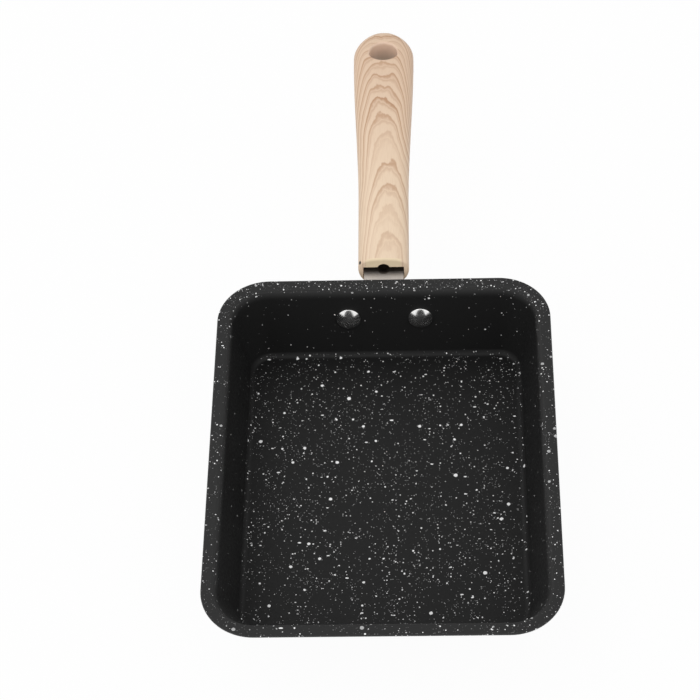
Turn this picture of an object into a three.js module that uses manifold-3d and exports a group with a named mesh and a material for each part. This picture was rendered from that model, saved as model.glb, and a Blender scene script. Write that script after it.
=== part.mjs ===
// A rectangular omelette pan: a pressed aluminium tray with a flared lip and a non-stick coat, a steel
// bracket riveted to its back wall, and a moulded wood-look handle that slides over the bracket's tongue
// and is held there by one screw from below.
// Millimetres, +Z up, +Y from the pan towards the handle. The origin is under the middle of the rim, on
// the surface that the pan stands on.
import * as THREE from "three";
import { mergeVertices } from "three/addons/utils/BufferGeometryUtils.js";
import Module from "manifold-3d";

const wasm = await Module();
wasm.setup();

const radians = THREE.MathUtils.degToRad;

// Fits between pieces
const SEAT = 0.3; // between a piece and the face that it sits on
const PLAY = 0.3; // round a piece that slides or passes through another

// Pan
const RIM_WIDTH = 150; // over the lip, X
const RIM_LENGTH = 190; // over the lip, Y
const RIM_CORNER = 23; // plan radius of the lip's outer edge
const PAN_HEIGHT = 41; // base to the top of the lip
const SHEET = 1.6; // thickness of the walls and the lip
const FLOOR = 2; // thickness of the floor
const LIP_LAND = 4.2; // flat top of the lip, from its outer edge to the bend
const LIP_BEND = 2; // radius from the lip's flat into the wall, on top
const WALL_LEAN = radians(10); // back and side walls lean outwards from upright
const FRONT_LEAN = radians(28); // front wall leans further, so that an omelette slides out over it
const FLOOR_FILLET = 3; // inside radius between a wall and the floor
const CORNER_LEAST = 3; // smallest plan radius of any corner
const GROOVES = 3; // pressed rings under the base that keep it flat when hot
const GROOVE_WIDTH = 2.4;
const GROOVE_DEPTH = 0.5;
const GROOVE_PITCH = 14;
const GROOVE_MARGIN = 5; // from the edge of the flat base to the first groove

// Rivets
const RIVET_PITCH = 33;
const RIVET_DROP = 17; // rivet's axis on the wall, below the top of the lip
const RIVET_HEAD = 11.2; // diameter of the domed head inside the pan
const RIVET_DOME = 3.6; // height of the dome
const RIVET_SHANK = 5; // diameter
const RIVET_TAIL = 8.6; // diameter of the head closed over the bracket
const RIVET_TAIL_HEIGHT = 1.8;

// Bracket
const STRAP = 1.5; // sheet thickness
const STRAP_WIDTH = 18;
const BRACKET_BEND = 2; // inside radius of the bend
const FLANGE_BELOW = 7.5; // flange below the rivets' axes
const FLANGE_END = 7; // flange beyond each rivet's axis
const FLANGE_CORNER = 4.5;
const NECK_FILLET = 2; // between the flange and the strap
const BEAD_RADIUS = 3.1; // groove pressed along the strap to stiffen it
const BEAD_FRONT = 3; // groove's straight part starts this far inside the handle
const BEAD_BACK = 22; // and ends this far inside it
const TONGUE = 46; // strap inside the handle

// Handle
const HANDLE_GAP = 6; // from the lip's outer edge to the handle's mouth
const MOUTH_DROP = 0.8; // slot's centre line at the mouth, below the top of the lip
const HANDLE_RISE = radians(10); // slope of the front of the handle
const HANDLE_ARCH = radians(10); // the grip bends back down by this much at its tail
const HANDLE_LENGTH = 136;
const HANDLE_STRAIGHT = 50; // straight front part, over the slot
const FRONT_WIDTH = 23.3;
const TAIL_WIDTH = 28.9;
const FRONT_TOP = 6; // slot's centre line to the top of the mouth
const GRIP_TOP = 7.2; // and to the top of the grip
const FRONT_UNDER = 9; // slot's centre line to the underside of the mouth
const BELLY_UNDER = 11; // and to the underside of the belly, over the screw
const TAIL_UNDER = 8.8;
const GRIP_START = 34; // the mouth's section has turned into the grip's here
const TOP_SQUARENESS = 2.8; // exponent of the section's upper half: 2 is an ellipse
const UNDER_SQUARENESS = 2.2; // and of its lower half
const TAIL_BLUNTNESS = 5; // how late the thickness rounds off at the tail
const MOUTH_LEAN = radians(20); // the mouth's face leans back from square to the handle
const MOUTH_ROUND = 1; // rounded edge of the mouth
const STRAP_DROP = 1.9; // strap's top below the slot's centre line
const SLOT_SPARE = 3; // slot runs on past the end of the tongue
const HOLE_FROM_TAIL = 15.8; // widest place of the hanging hole, from the end of the handle
const HOLE_WIDTH = 13.3;
const HOLE_FRONT = 4.2; // the hole's reach from its widest place towards the pan
const HOLE_BACK = 6.6; // and towards the tail
const HOLE_ROUND = 1.4; // rounded edge of the hanging hole

// Handle's screw, its washer and its nut
const SCREW_AT = 38; // along the handle
const SCREW = 5; // thread diameter
const SCREW_HEAD = 9;
const SCREW_HEAD_HEIGHT = 2.6;
const SCREW_END = 0.8; // shank beyond the nut
const SCREW_TIP = 0.6; // chamfer at the shank's end
const CROSS_WIDTH = 1.2; // cross recess in the head
const CROSS_SPAN = 5;
const CROSS_DEPTH = 1.4;
const WASHER_WIDTH = 1.6; // radial width of the split ring
const WASHER = 1.2; // thickness
const WASHER_SPLIT = 1.2;
const SCREW_WALL = 1.8; // handle's wall between the slot and the washer's seat
const NUT_FLATS = 8;
const NUT = 2.7; // height

// Facets
const CORNER_STEPS = 8; // per quarter turn of a pan corner
const BEND_STEPS = 6; // per bend of a section
const SECTION_POINTS = 36; // round the handle
const GRIP_STEPS = 16; // along the handle
const TAIL_STEPS = 10; // over its round end
const ROUND_STEPS = 28; // round rivets, screw and holes
const OVERSHOOT = 2; // cutters run past the faces that they cut
const SAME_POINT = 1e-4; // corners nearer than this are one

const COAT = { color: "#2b2b2b", roughness: 0.5, metalness: 0 };
const POLISHED = { color: "#cfcfcf", roughness: 0.2, metalness: 1 };
const STEEL = { color: "#b4aea6", roughness: 0.35, metalness: 1 };
const ZINC = { color: "#9c9c9a", roughness: 0.4, metalness: 1 };
const WOOD_PRINT = { color: "#e6cbae", roughness: 0.5, metalness: 0 };

function named(name, geometry, finish) {
  const mesh = new THREE.Mesh(geometry, new THREE.MeshStandardMaterial(finish));
  mesh.name = name;
  return mesh;
}

// A closed solid from a geometry: shared corners merged, collapsed triangles dropped.
function solid(geometry) {
  const bare = new THREE.BufferGeometry();
  bare.setAttribute("position", geometry.getAttribute("position"));
  bare.setIndex(geometry.getIndex());
  const merged = mergeVertices(bare, SAME_POINT);
  const corners = merged.getIndex().array;
  const kept = [];
  for (let i = 0; i < corners.length; i += 3) {
    const [a, b, c] = corners.subarray(i, i + 3);
    if (a !== b && b !== c && c !== a) kept.push(a, b, c);
  }
  const vertProperties = new Float32Array(merged.getAttribute("position").array);
  const triVerts = new Uint32Array(kept);
  return new wasm.Manifold(new wasm.Mesh({ numProp: 3, vertProperties, triVerts }));
}

function geometryOf(body) {
  const { vertProperties, triVerts } = body.getMesh();
  const geometry = new THREE.BufferGeometry();
  geometry.setAttribute("position", new THREE.BufferAttribute(vertProperties, 3));
  geometry.setIndex(new THREE.BufferAttribute(triVerts, 1));
  return geometry;
}

// A skin over rings of points, each turning right-handed about the way that the rings follow one another,
// with a fan over the first and the last.
function loft(rings) {
  const count = rings[0].length;
  const middle = (ring) => ring.reduce((sum, p) => sum.add(p), new THREE.Vector3()).divideScalar(count);
  const points = [...rings.flat(), middle(rings[0]), middle(rings.at(-1))];
  const [first, last] = [points.length - 2, points.length - 1];
  const lastRing = (rings.length - 1) * count;
  const index = [];
  for (let i = 0; i < count; i++) {
    const j = (i + 1) % count;
    index.push(first, j, i, last, lastRing + i, lastRing + j);
    for (let k = 0; k < lastRing; k += count) {
      index.push(k + i, k + j, k + count + i, k + j, k + count + j, k + count + i);
    }
  }
  return new THREE.BufferGeometry().setFromPoints(points).setIndex(index);
}

// Evenly spaced values from one end to the other, both included.
function steps(from, to, count) {
  return Array.from({ length: count + 1 }, (_, i) => from + ((to - from) * i) / count);
}

// A lathed body turned so that its axis lies along Z. The profile is [radius, height] from bottom to top.
function turned(profile, segments = ROUND_STEPS) {
  const points = profile.map(([radius, height]) => new THREE.Vector2(radius, height));
  return new THREE.LatheGeometry(points, segments).rotateX(Math.PI / 2);
}

function rod(diameter, bottom, top) {
  const radius = diameter / 2;
  return turned([[0, bottom], [radius, bottom], [radius, top], [0, top]]);
}

function plate(shape, thickness) {
  return new THREE.ExtrudeGeometry(shape, {
    depth: thickness,
    bevelEnabled: false,
    curveSegments: BEND_STEPS,
  });
}

// A shape drawn in X and Z, extruded along Y.
function alongY(shape, from, to) {
  return plate(shape, to - from).rotateX(Math.PI / 2).translate(0, to, 0);
}

// A shape drawn in Y and Z, extruded along X about the middle.
function acrossX(shape, width) {
  const [x, y, z] = [new THREE.Vector3(1, 0, 0), new THREE.Vector3(0, 1, 0), new THREE.Vector3(0, 0, 1)];
  return plate(shape, width).applyMatrix4(new THREE.Matrix4().makeBasis(y, z, x)).translate(-width / 2, 0, 0);
}

// The pan's walls: how far a wall's surface lies inside the lip's outer edge at a height. "out" is the
// distance from the inner surface, positive towards the outside.
function wallInset(lean, height, out) {
  const bendEnd = LIP_LAND + LIP_BEND * Math.cos(lean);
  const bendFoot = PAN_HEIGHT - LIP_BEND * (1 - Math.sin(lean));
  return bendEnd + (bendFoot - height) * Math.tan(lean) - out / Math.cos(lean);
}

// The bend between a wall and a level face, from the wall down, as [inset, height].
function footBend(lean, level, radius, out) {
  const centre = wallInset(lean, level + radius, out - radius);
  const slopes = steps(Math.PI / 2 - lean, 0, BEND_STEPS);
  return slopes.map((a) => [centre - radius * Math.sin(a), level + radius * (1 - Math.cos(a))]);
}

// The bend between the lip and a wall, from the lip down, at a radius about the bend's centre.
function lipBend(lean, radius) {
  const slopes = steps(0, Math.PI / 2 - lean, BEND_STEPS);
  const centre = PAN_HEIGHT - LIP_BEND;
  return slopes.map((a) => [LIP_LAND + radius * Math.sin(a), centre + radius * Math.cos(a)]);
}

// The lip's outer edge, rounded over the sheet, from its underside to its top.
function lipEdge() {
  const half = SHEET / 2;
  const turns = steps(-Math.PI / 2, Math.PI / 2, BEND_STEPS);
  return turns.map((a) => [half - half * Math.cos(a), PAN_HEIGHT - half + half * Math.sin(a)]);
}

// The grooves under the base, from the innermost out to the edge of the flat.
function baseGrooves(flatEdge) {
  const profile = [];
  for (let i = GROOVES - 1; i >= 0; i--) {
    const inset = flatEdge + GROOVE_MARGIN + i * GROOVE_PITCH;
    profile.push([inset + GROOVE_WIDTH, 0], [inset + GROOVE_WIDTH / 2, GROOVE_DEPTH], [inset, 0]);
  }
  return profile;
}

// A wall's section, from the middle of the base outwards, up to the lip and down to the floor.
function wallSection(lean) {
  const outerFoot = footBend(lean, 0, FLOOR_FILLET + SHEET, SHEET).reverse();
  return [
    ...baseGrooves(outerFoot[0][0]),
    ...outerFoot,
    ...lipBend(lean, LIP_BEND - SHEET).reverse(),
    ...lipEdge(),
    ...lipBend(lean, LIP_BEND),
    ...footBend(lean, FLOOR, FLOOR_FILLET, 0),
  ];
}

// A ring round the pan through a point of the side walls' section and its fellow in the front wall's.
function rimRing([inset, height], [frontInset, frontHeight]) {
  const corner = Math.max(RIM_CORNER - inset, CORNER_LEAST);
  const x = RIM_WIDTH / 2 - inset - corner;
  const back = RIM_LENGTH / 2 - inset - corner;
  const front = frontInset + corner - RIM_LENGTH / 2;
  const centres = [[x, back], [-x, back], [-x, front], [x, front]];
  return centres.flatMap(([cx, cy], quarter) =>
    steps(0, Math.PI / 2, CORNER_STEPS).map((turn) => {
      const angle = turn + (quarter * Math.PI) / 2;
      const toFront = Math.max(0, -Math.sin(angle)) ** 2;
      const z = height + (frontHeight - height) * toFront;
      return new THREE.Vector3(cx + corner * Math.cos(angle), cy + corner * Math.sin(angle), z);
    }),
  );
}

// The frame of the riveted joint: its origin is on the inner face of the back wall at the rivets' height,
// with Y up the wall and Z into the pan.
const wall = new THREE.Group();
wall.position.z = PAN_HEIGHT - RIVET_DROP;
wall.position.y = RIM_LENGTH / 2 - wallInset(WALL_LEAN, wall.position.z, 0);
wall.rotation.x = Math.PI / 2 - WALL_LEAN;
wall.updateMatrix();

// The frame of the handle: its origin is the slot's centre line at the mouth, with Y along the handle.
const grip = new THREE.Group();
grip.position.set(0, RIM_LENGTH / 2 + HANDLE_GAP, PAN_HEIGHT - MOUTH_DROP);
grip.rotation.x = HANDLE_RISE;
grip.updateMatrix();

const rivetPlaces = { rivet_left: -RIVET_PITCH / 2, rivet_right: RIVET_PITCH / 2 };
const flangeFace = -(SHEET + SEAT + STRAP); // outer face of the flange, in the wall's frame
const strapUnder = -(STRAP_DROP + STRAP); // underside of the strap, in the handle's frame
const nutTop = SEAT + NUT - STRAP_DROP;
const slotRoof = nutTop + PLAY;

function panBody() {
  const frontSection = wallSection(FRONT_LEAN);
  const rings = wallSection(WALL_LEAN).map((point, i) => rimRing(point, frontSection[i]));
  let body = solid(loft(rings));
  for (const x of Object.values(rivetPlaces)) {
    const hole = rod(RIVET_SHANK + 2 * PLAY, -SHEET - OVERSHOOT, OVERSHOOT).translate(x, 0, 0);
    body = body.subtract(solid(hole.applyMatrix4(wall.matrix)));
  }
  return named("pan_body", geometryOf(body), COAT);
}

// A solid rivet: a domed head inside the pan, a shank through the wall and the bracket, and a tail closed
// over the bracket.
function rivet(name, x) {
  const [head, shank, tail] = [RIVET_HEAD / 2, RIVET_SHANK / 2, RIVET_TAIL / 2];
  const ball = (head ** 2 + RIVET_DOME ** 2) / (2 * RIVET_DOME);
  const dome = steps(Math.asin(head / ball), 0, BEND_STEPS).map((a) => [
    ball * Math.sin(a),
    SEAT + RIVET_DOME - ball * (1 - Math.cos(a)),
  ]);
  const tailSeat = flangeFace - SEAT;
  const tailTop = tailSeat - RIVET_TAIL_HEIGHT;
  const edge = RIVET_TAIL_HEIGHT / 2;
  const profile = [
    [0, tailTop],
    [tail - edge, tailTop],
    [tail, tailTop + edge],
    [tail, tailSeat],
    [shank, tailSeat],
    [shank, SEAT],
    ...dome,
  ];
  const mesh = named(name, turned(profile), POLISHED);
  mesh.position.x = x;
  return mesh;
}

// The bracket's middle line in Y and Z: up the wall, round the bend, then along the handle.
function strapLine() {
  const upWall = new THREE.Vector2(Math.sin(WALL_LEAN), Math.cos(WALL_LEAN));
  const offWall = new THREE.Vector2(Math.cos(WALL_LEAN), -Math.sin(WALL_LEAN));
  const along = new THREE.Vector2(Math.cos(HANDLE_RISE), Math.sin(HANDLE_RISE));
  const above = new THREE.Vector2(-Math.sin(HANDLE_RISE), Math.cos(HANDLE_RISE));
  const rivetLine = new THREE.Vector2(wall.position.y, wall.position.z);
  rivetLine.addScaledVector(offWall, SHEET + SEAT + STRAP / 2);
  const mouth = new THREE.Vector2(grip.position.y, grip.position.z);
  mouth.addScaledVector(above, -(STRAP_DROP + STRAP / 2));
  const radius = BRACKET_BEND + STRAP / 2;
  const turn = Math.PI / 2 - WALL_LEAN - HANDLE_RISE;
  const toMouth = mouth.clone().sub(rivetLine);
  const rise = toMouth.dot(above) / upWall.dot(above); // up the wall, to where the two lines cross
  const bendStart = rise - radius * Math.tan(turn / 2);
  const centre = rivetLine.clone().addScaledVector(upWall, bendStart).addScaledVector(offWall, radius);
  return { rivetLine, offWall, along, above, mouth, radius, centre, bendStart };
}

// The strap from the rivets' line to the end of the tongue, seen from the side.
function strapProfile() {
  const { rivetLine, offWall, along, above, mouth, radius, centre } = strapLine();
  const end = mouth.clone().addScaledVector(along, TONGUE);
  const beside = (point, way, distance) => point.clone().addScaledVector(way, distance);
  const [onWall, onStrap] = [Math.PI - WALL_LEAN, Math.PI / 2 + HANDLE_RISE];
  const foot = [beside(rivetLine, offWall, STRAP / 2), beside(rivetLine, offWall, -STRAP / 2)];
  const tip = [beside(end, above, STRAP / 2), beside(end, above, -STRAP / 2)];
  const shape = new THREE.Shape();
  shape.moveTo(foot[0].x, foot[0].y);
  shape.lineTo(foot[1].x, foot[1].y);
  shape.absarc(centre.x, centre.y, radius + STRAP / 2, onWall, onStrap, true);
  for (const corner of tip) shape.lineTo(corner.x, corner.y);
  shape.absarc(centre.x, centre.y, radius - STRAP / 2, onStrap, onWall, false);
  return shape;
}

// The flange on the wall: two wings round the rivets, filleted into the strap, up to where it bends.
function flangeShape() {
  const { bendStart } = strapLine();
  const [end, neck, low] = [RIVET_PITCH / 2 + FLANGE_END, STRAP_WIDTH / 2, -FLANGE_BELOW];
  const high = bendStart - NECK_FILLET;
  const round = FLANGE_CORNER;
  const shape = new THREE.Shape();
  shape.moveTo(-end + round, low);
  shape.absarc(end - round, low + round, round, -Math.PI / 2, 0, false);
  shape.absarc(end - round, high - round, round, 0, Math.PI / 2, false);
  shape.absarc(neck + NECK_FILLET, bendStart, NECK_FILLET, -Math.PI / 2, -Math.PI, true);
  shape.absarc(-neck - NECK_FILLET, bendStart, NECK_FILLET, 0, -Math.PI / 2, true);
  shape.absarc(-end + round, high - round, round, Math.PI / 2, Math.PI, false);
  shape.absarc(-end + round, low + round, round, Math.PI, 1.5 * Math.PI, false);
  return shape;
}

// A round-ended bar along the slot's centre line, in the handle's frame.
function beadBar(radius) {
  const ends = steps(0, Math.PI / 2, BEND_STEPS);
  const front = ends.map((a) => [radius * Math.sin(a), BEAD_FRONT - radius * Math.cos(a)]);
  const back = ends.map((a) => [radius * Math.cos(a), BEAD_BACK + radius * Math.sin(a)]);
  const points = [...front, ...back].map(([r, y]) => new THREE.Vector2(r, y));
  return new THREE.LatheGeometry(points, ROUND_STEPS);
}

function bracket() {
  const inHandle = (geometry) => solid(geometry.applyMatrix4(grip.matrix));
  const flange = plate(flangeShape(), STRAP).translate(0, 0, flangeFace).applyMatrix4(wall.matrix);
  const strap = acrossX(strapProfile(), STRAP_WIDTH);
  const beadSpan = BEAD_BACK - BEAD_FRONT + 2 * (BEAD_RADIUS + STRAP);
  const beadMiddle = (BEAD_BACK + BEAD_FRONT) / 2;
  const beadRoom = new THREE.BoxGeometry(STRAP_WIDTH, beadSpan, STRAP_WIDTH);
  beadRoom.translate(0, beadMiddle, -STRAP_DROP - STRAP / 2 - STRAP_WIDTH / 2);
  const bead = inHandle(beadBar(BEAD_RADIUS + STRAP)).intersect(inHandle(beadRoom));
  const screwHole = rod(SCREW + 2 * PLAY, strapUnder - OVERSHOOT, OVERSHOOT).translate(0, SCREW_AT, 0);
  let body = solid(flange).add(solid(strap)).add(bead);
  body = body.subtract(inHandle(beadBar(BEAD_RADIUS))).subtract(inHandle(screwHole));
  for (const x of Object.values(rivetPlaces)) {
    const hole = rod(RIVET_SHANK + 2 * PLAY, flangeFace - OVERSHOOT, 0).translate(x, 0, 0);
    body = body.subtract(solid(hole.applyMatrix4(wall.matrix)));
  }
  return named("handle_bracket", geometryOf(body), STEEL);
}

// A smooth change from one size to another between two places along the handle.
function blend(from, to, start, end, place) {
  return from + (to - from) * THREE.MathUtils.smoothstep(place, start, end);
}

const tailCentre = HANDLE_LENGTH - TAIL_WIDTH / 2; // centre of the tail's round end
const archRadius = (HANDLE_LENGTH - HANDLE_STRAIGHT) / HANDLE_ARCH;

// The handle's half width and its reach above and below its middle line, at a place along it.
function section(place) {
  const width = blend(FRONT_WIDTH, TAIL_WIDTH, GRIP_START, tailCentre, place) / 2;
  const top = blend(FRONT_TOP, GRIP_TOP, 0, GRIP_START, place);
  const belly = blend(FRONT_UNDER, BELLY_UNDER, 0, GRIP_START, place);
  const under = blend(belly, TAIL_UNDER, HANDLE_STRAIGHT, tailCentre, place);
  const fromMouth = Math.max(0, 1 - place / MOUTH_ROUND);
  const edge = MOUTH_ROUND * (1 - Math.sqrt(1 - fromMouth ** 2));
  const toTail = Math.max(0, (place - tailCentre) / (HANDLE_LENGTH - tailCentre));
  const narrowing = Math.sqrt(1 - toTail ** 2);
  const thinning = (1 - toTail ** TAIL_BLUNTNESS) ** (1 / TAIL_BLUNTNESS);
  return {
    width: (width - edge) * narrowing,
    top: (top - edge) * thinning,
    under: (under - edge) * thinning,
  };
}

// The handle's middle line: straight over the slot, then a gentle arch back down.
function gripFrame(place) {
  const angle = Math.max(0, place - HANDLE_STRAIGHT) / archRadius;
  const y = Math.min(place, HANDLE_STRAIGHT) + archRadius * Math.sin(angle);
  const z = -archRadius * (1 - Math.cos(angle));
  return new THREE.Matrix4().makeRotationX(-angle).setPosition(0, y, z);
}

function gripRing(place) {
  const { width, top, under } = section(place);
  const power = (value, exponent) => Math.sign(value) * Math.abs(value) ** (2 / exponent);
  const lean = Math.tan(MOUTH_LEAN) * blend(1, 0, 0, GRIP_START, place);
  const frame = gripFrame(place);
  return steps(0, 2 * Math.PI, SECTION_POINTS).slice(1).map((turn) => {
    const up = Math.cos(turn);
    const exponent = up > 0 ? TOP_SQUARENESS : UNDER_SQUARENESS;
    const x = width * power(Math.sin(turn), exponent);
    const z = (up > 0 ? top : under) * power(up, exponent);
    return new THREE.Vector3(x, z * lean, z).applyMatrix4(frame);
  });
}

// The slot in the mouth: a flat for the strap, with a round bore over and under it for the strap's bead.
function slotShape() {
  const side = STRAP_WIDTH / 2 + PLAY;
  const low = strapUnder - PLAY;
  const [over, beneath] = [BEAD_RADIUS, BEAD_RADIUS + STRAP + PLAY];
  const overTurn = Math.asin(slotRoof / over);
  const underTurn = Math.asin(low / beneath);
  const shape = new THREE.Shape();
  shape.moveTo(-side, slotRoof);
  shape.lineTo(-side, low);
  shape.absarc(0, 0, beneath, -Math.PI - underTurn, underTurn, false);
  shape.lineTo(side, low);
  shape.lineTo(side, slotRoof);
  shape.absarc(0, 0, over, overTurn, Math.PI - overTurn, false);
  return shape;
}

// The hanging hole: an oval bore, fuller towards the tail, whose edges round over into the top and the
// underside.
function hangingHole() {
  const place = HANDLE_LENGTH - HOLE_FROM_TAIL;
  const { top, under } = section(place);
  const turns = steps(Math.PI / 2, 0, BEND_STEPS);
  const flare = turns.map((a) => ({ out: HOLE_ROUND * (1 - Math.cos(a)), back: HOLE_ROUND * (1 - Math.sin(a)) }));
  const below = flare.map(({ out, back }) => [out, back - under]);
  const above = flare.map(({ out, back }) => [out, top - back]).reverse();
  const levels = [[HOLE_ROUND, -under - OVERSHOOT], ...below, ...above, [HOLE_ROUND, top + OVERSHOOT]];
  const frame = gripFrame(place);
  const rings = levels.map(([out, level]) =>
    steps(0, 2 * Math.PI, ROUND_STEPS).slice(1).map((turn) => {
      const x = (HOLE_WIDTH / 2 + out) * Math.cos(turn);
      const y = ((turn < Math.PI ? HOLE_BACK : HOLE_FRONT) + out) * Math.sin(turn);
      return new THREE.Vector3(x, y, level).applyMatrix4(frame);
    }),
  );
  return loft(rings);
}

const washerSeat = strapUnder - PLAY - SCREW_WALL; // floor of the counterbore, in the handle's frame
const washerOuter = SCREW + 2 * PLAY + 2 * WASHER_WIDTH;
const headSeat = washerSeat - SEAT - WASHER - SEAT; // face of the screw's head against the washer
const screwEnd = nutTop + SCREW_END;

function handle() {
  const mouthPlaces = steps(0, Math.PI / 2, BEND_STEPS).map((a) => MOUTH_ROUND * (1 - Math.cos(a)));
  const gripPlaces = steps(MOUTH_ROUND, tailCentre, GRIP_STEPS).slice(1);
  const tailPlaces = steps(0, Math.PI / 2, TAIL_STEPS).slice(1, -1);
  const lastPlaces = tailPlaces.map((a) => tailCentre + (HANDLE_LENGTH - tailCentre) * Math.sin(a));
  const rings = [...mouthPlaces, ...gripPlaces, ...lastPlaces].map(gripRing);
  const bore = Math.max(SCREW_HEAD, washerOuter) + 2 * PLAY;
  const slotStart = -FRONT_UNDER * Math.tan(MOUTH_LEAN) - OVERSHOOT;
  const cutters = [
    alongY(slotShape(), slotStart, TONGUE + SLOT_SPARE),
    rod(SCREW + 2 * PLAY, washerSeat - OVERSHOOT, screwEnd + PLAY).translate(0, SCREW_AT, 0),
    rod(bore, -BELLY_UNDER - OVERSHOOT, washerSeat).translate(0, SCREW_AT, 0),
    hangingHole(),
  ];
  const body = cutters.reduce((whole, cutter) => whole.subtract(solid(cutter)), solid(loft(rings)));
  return named("handle", geometryOf(body), WOOD_PRINT);
}

// A pan-head screw from below, with a cross recess.
function handleScrew() {
  const [shank, head] = [SCREW / 2, SCREW_HEAD / 2];
  const low = headSeat - SCREW_HEAD_HEIGHT;
  const edge = SCREW_HEAD_HEIGHT / 2;
  const crown = steps(0, Math.PI / 2, BEND_STEPS).map((a) => [
    head - edge * (1 - Math.sin(a)),
    low + edge * (1 - Math.cos(a)),
  ]);
  const body = turned([[0, low], ...crown, [head, headSeat], [shank, headSeat],
    [shank, screwEnd - SCREW_TIP], [shank - SCREW_TIP, screwEnd], [0, screwEnd]]);
  const cross = [[CROSS_SPAN, CROSS_WIDTH], [CROSS_WIDTH, CROSS_SPAN]].map(([x, y]) =>
    solid(new THREE.BoxGeometry(x, y, 2 * CROSS_DEPTH).translate(0, 0, low)),
  );
  const cut = cross.reduce((whole, slot) => whole.subtract(slot), solid(body));
  return named("handle_screw", geometryOf(cut), ZINC);
}

function springWasher() {
  const inner = SCREW / 2 + PLAY;
  const outer = washerOuter / 2;
  const gap = WASHER_SPLIT / 2;
  const [outerTurn, innerTurn] = [Math.asin(gap / outer), Math.asin(gap / inner)];
  const shape = new THREE.Shape();
  shape.absarc(0, 0, outer, outerTurn, 2 * Math.PI - outerTurn, false);
  shape.absarc(0, 0, inner, 2 * Math.PI - innerTurn, innerTurn, true);
  const ring = new THREE.ExtrudeGeometry(shape, {
    depth: WASHER,
    bevelEnabled: false,
    curveSegments: ROUND_STEPS,
  });
  const mesh = named("spring_washer", geometryOf(solid(ring)), ZINC);
  mesh.position.z = washerSeat - SEAT - WASHER;
  return mesh;
}

// A thin hexagon nut welded to the top of the strap.
function weldNut() {
  const reach = NUT_FLATS / Math.sqrt(3);
  const corners = steps(0, 2 * Math.PI, 6).slice(1);
  const shape = new THREE.Shape(corners.map((a) => new THREE.Vector2(reach * Math.cos(a), reach * Math.sin(a))));
  const bore = new THREE.Path().absarc(0, 0, SCREW / 2 + PLAY, 0, 2 * Math.PI, true);
  shape.holes.push(bore);
  const mesh = named("weld_nut", geometryOf(solid(plate(shape, NUT))), ZINC);
  mesh.position.z = nutTop - NUT;
  return mesh;
}

const rivets = Object.entries(rivetPlaces).map(([name, x]) => rivet(name, x));
wall.add(...rivets);
const fastening = new THREE.Group();
fastening.position.y = SCREW_AT;
fastening.add(weldNut(), springWasher(), handleScrew());
grip.add(handle(), fastening);

const pan = new THREE.Group();
pan.add(panBody(), wall, bracket(), grip);

export default pan;
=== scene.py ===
import math

import bmesh
import bpy
from mathutils import Matrix, Vector


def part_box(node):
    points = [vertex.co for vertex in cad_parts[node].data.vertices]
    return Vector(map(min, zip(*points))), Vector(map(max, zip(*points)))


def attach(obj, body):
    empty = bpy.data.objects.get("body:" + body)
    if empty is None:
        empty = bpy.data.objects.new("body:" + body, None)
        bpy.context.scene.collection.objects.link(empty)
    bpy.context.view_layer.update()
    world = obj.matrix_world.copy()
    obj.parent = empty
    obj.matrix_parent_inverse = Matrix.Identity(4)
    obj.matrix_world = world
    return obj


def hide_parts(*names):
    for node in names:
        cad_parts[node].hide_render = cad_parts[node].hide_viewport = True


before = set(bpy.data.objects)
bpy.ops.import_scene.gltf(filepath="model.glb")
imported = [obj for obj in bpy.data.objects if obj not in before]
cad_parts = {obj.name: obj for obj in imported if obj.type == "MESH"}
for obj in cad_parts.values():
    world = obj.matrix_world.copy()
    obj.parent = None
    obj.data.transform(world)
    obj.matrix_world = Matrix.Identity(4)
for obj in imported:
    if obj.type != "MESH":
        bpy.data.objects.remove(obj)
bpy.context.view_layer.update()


# The pan: one sheet of aluminium pressed into a tray with leaning walls and a flared lip. It is sprayed
# all over with a black non-stick coat, and pale flecks are sprinkled into the coat from above.
# Sizes are in millimetres, and the waves of its textures are counted to the metre.
MM = 0.001
SHEET = 1.6
FLOOR = 2
RIM_CORNER = 23
CORNER_LEAST = 3
LIP_LAND = 4.2
LIP_BEND = 2
WALL_LEAN = math.radians(10)
FRONT_LEAN = math.radians(28)
FLOOR_FILLET = 3
GROOVES = 3
GROOVE_WIDTH = 2.4
GROOVE_DEPTH = 0.5
GROOVE_PITCH = 14
GROOVE_MARGIN = 5
CORNER_STEPS = 20
BEND_STEPS = 14
SHARP_EDGE = math.radians(38)

pan_low, pan_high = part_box("pan_body")
RIM_WIDTH, RIM_LENGTH, PAN_HEIGHT = (pan_high - pan_low) / MM


def spread(start, end, count):
    """Evenly spaced values from one end to the other, both included."""
    return [start + (end - start) * i / count for i in range(count + 1)]


def skin(rings):
    """The faces of a closed skin over rings of points, with one face over each end."""
    count = len(rings[0])
    faces = [list(reversed(range(count)))]
    for k in range(0, (len(rings) - 1) * count, count):
        for i in range(count):
            j = (i + 1) % count
            faces.append([k + i, k + j, k + count + j, k + count + i])
    return faces + [[(len(rings) - 1) * count + i for i in range(count)]]


def piece(name, rings, place=Matrix.Identity(4)):
    """An object with a skin over rings of points, given in millimetres in a frame of their own."""
    mesh = bpy.data.meshes.new(name)
    points = [place @ (Vector(point) * MM) for ring in rings for point in ring]
    mesh.from_pydata(points, [], skin(rings))
    made = bpy.data.objects.new(name, mesh)
    bpy.context.scene.collection.objects.link(made)
    return made


def shade_round(made, material):
    """Gives a piece its finish. Round surfaces shade smooth, corners stay crisp and flat faces flat."""
    work = bmesh.new()
    work.from_mesh(made.data)
    for face in work.faces:
        face.smooth = True
    for edge in work.edges:
        edge.smooth = edge.is_manifold and edge.calc_face_angle() < SHARP_EDGE
    work.to_mesh(made.data)
    work.free()
    made.modifiers.new("flat faces stay flat", "WEIGHTED_NORMAL").keep_sharp = True
    made.data.materials.clear()
    made.data.materials.append(material)


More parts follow.
